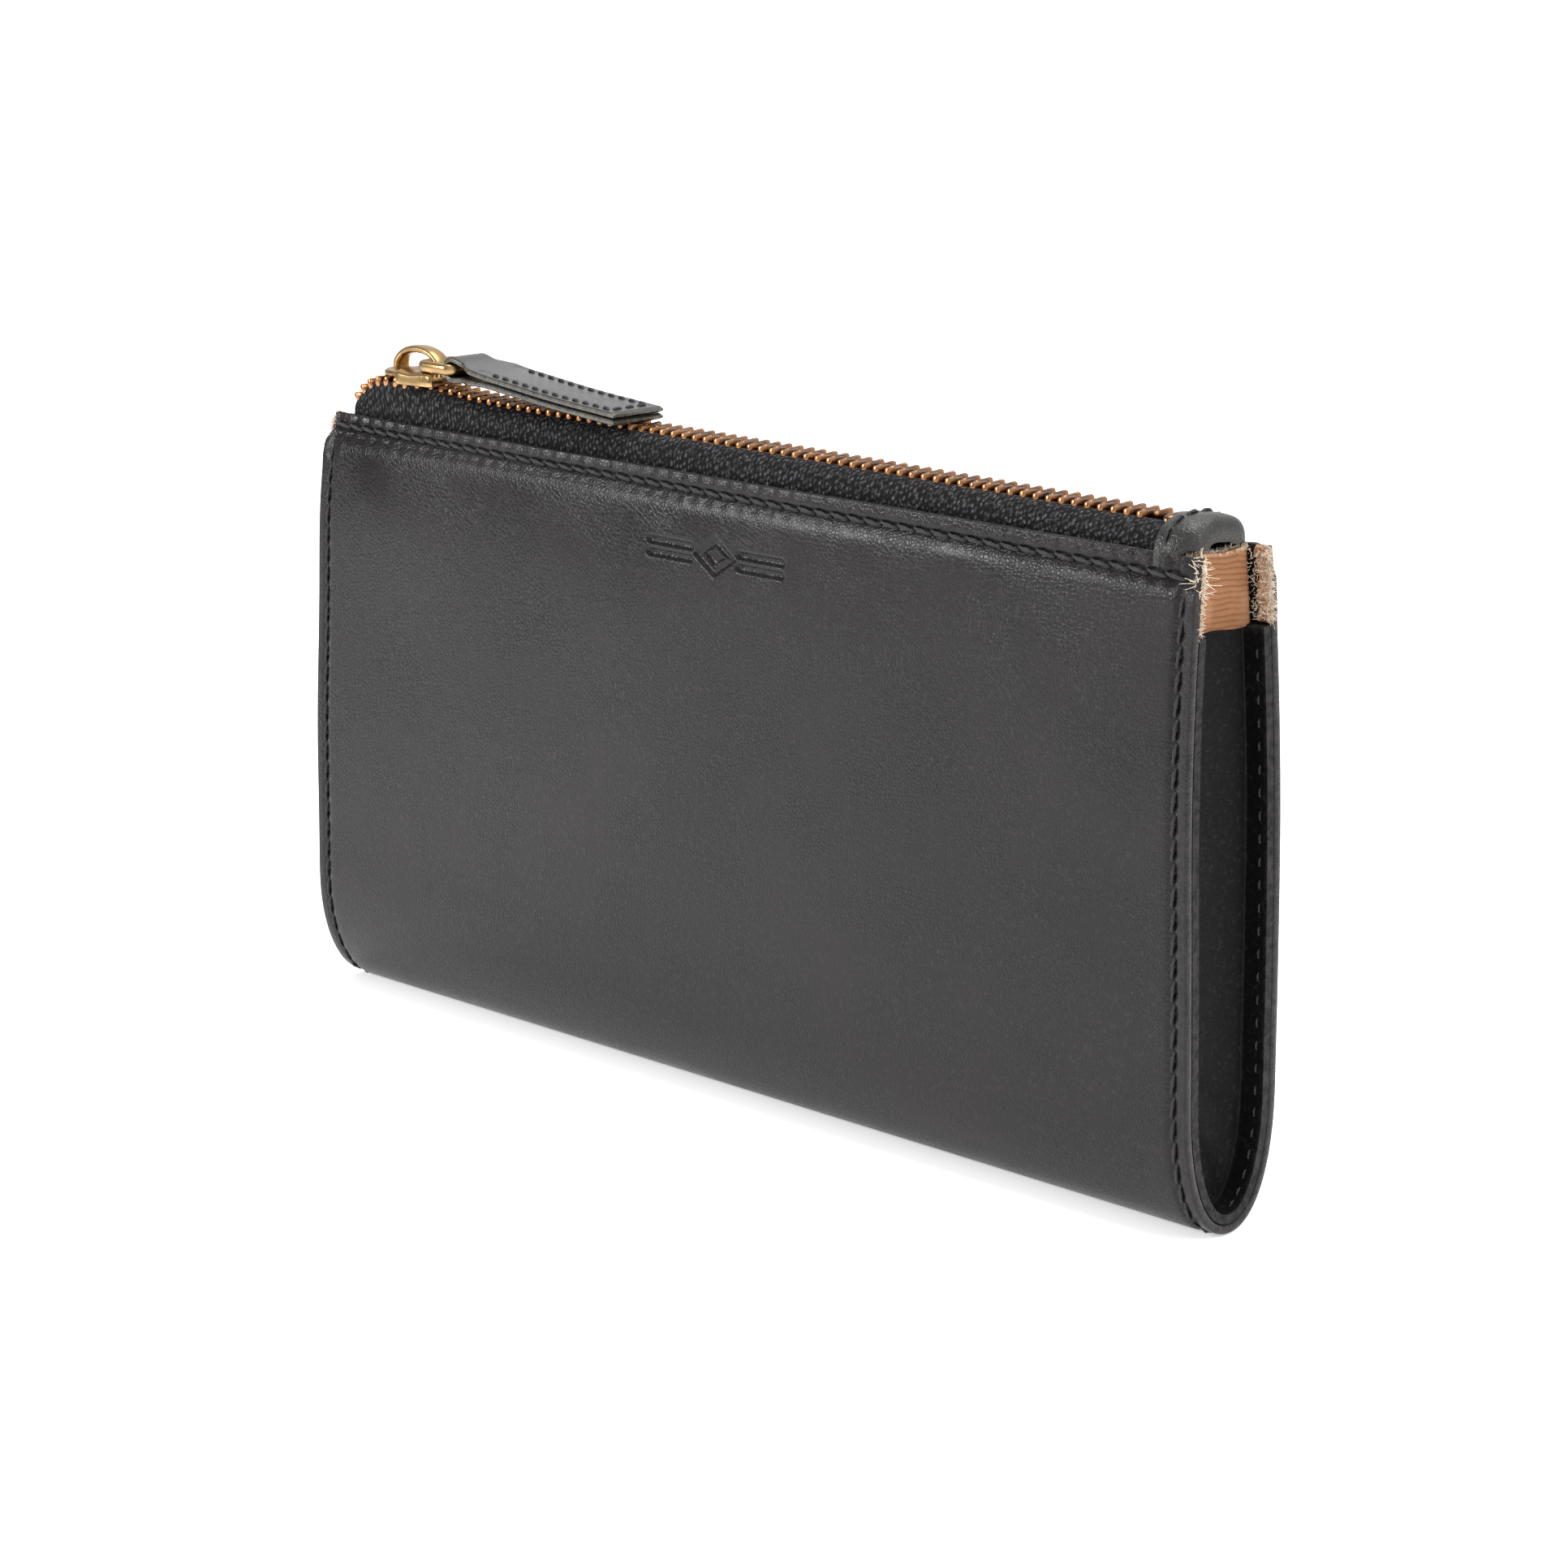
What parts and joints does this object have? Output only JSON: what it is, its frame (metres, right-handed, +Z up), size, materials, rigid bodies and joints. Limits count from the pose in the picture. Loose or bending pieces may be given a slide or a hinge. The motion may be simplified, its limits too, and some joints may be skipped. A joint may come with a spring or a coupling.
{
  "type": "zip wallet",
  "caption": "Long zip-top wallet of soft black leather with U-shaped end gussets, a metal zip, a brass slider with a folded leather puller, and card pockets inside.",
  "frame": {"origin": "middle of the flat foot that the wallet stands on", "axes": "+X along the wallet towards the end tab, +Y from the front panel to the back panel, +Z up towards the zip"},
  "size_m": [0.195, 0.022, 0.1116],
  "materials": {
    "hide": "smooth waxed black hide with a soft sheen",
    "puller_leather": "smooth black hide with olive burnished edges",
    "inner_leather": "thin matt black split",
    "twill": "tan cotton twill with raw frayed ends",
    "board": "bonded fibre stiffener, hidden",
    "zip_tape": "black woven zip tape",
    "zip_teeth": "copper-toned metal teeth, worn bright on their faces",
    "brass": "aged brass casting"
  },
  "bodies": {
    "back_body": {"shell_back": "hide", "board_back": "board", "lining_back": "twill", "gusset_left": "hide", "gusset_right": "hide", "gusset_lining_left": "twill", "gusset_lining_right": "twill", "zip_tape_back": "zip_tape", "zip_teeth_back": "zip_teeth", "bottom_stop": "zip_teeth", "zip_end_tab": "hide", "card_backing": "inner_leather", "card_pocket_top": "inner_leather", "card_pocket_middle": "inner_leather", "card_pocket_bottom": "inner_leather", "centre_divider": "inner_leather"},
    "front_body": {"shell_front": "hide", "board_front": "board", "lining_front": "twill", "zip_tape_front": "zip_tape", "zip_teeth_front": "zip_teeth", "slip_pocket_front": "inner_leather"},
    "slider": {"slider_body": "brass", "slider_bridge": "brass"},
    "puller_link": {"puller_link": "brass"},
    "puller_strap": {"puller_strap": "puller_leather"}
  },
  "joints": [
    {"name": "zip_slide", "type": "slide", "parent": "back_body", "child": "slider", "axis": [1, 0, -0.0082], "range_m": [0, 0.155], "deforming": ["zip_teeth_front", "zip_teeth_back", "zip_tape_front", "zip_tape_back"]},
    {"name": "mouth_open", "type": "hinge", "parent": "back_body", "child": "front_body", "pos_m": [0, -0.0038, 0.0008], "axis": [1, 0, 0], "range_deg": [0, 14], "deforming": ["zip_teeth_front", "zip_tape_front"]},
    {"name": "link_hinge", "type": "hinge", "parent": "slider", "child": "puller_link", "pos_m": [-0.0744, 0, 0.1092], "axis": [0, -1, 0], "range_deg": [0, 110]},
    {"name": "strap_hinge", "type": "hinge", "parent": "puller_link", "child": "puller_strap", "pos_m": [-0.0667, 0, 0.1092], "axis": [0, -1, 0], "range_deg": [0, 55]}
  ],
  "couplings": [
    {"joint": "mouth_open", "follows": "zip_slide", "rad_per_m": 1.57}
  ]
}
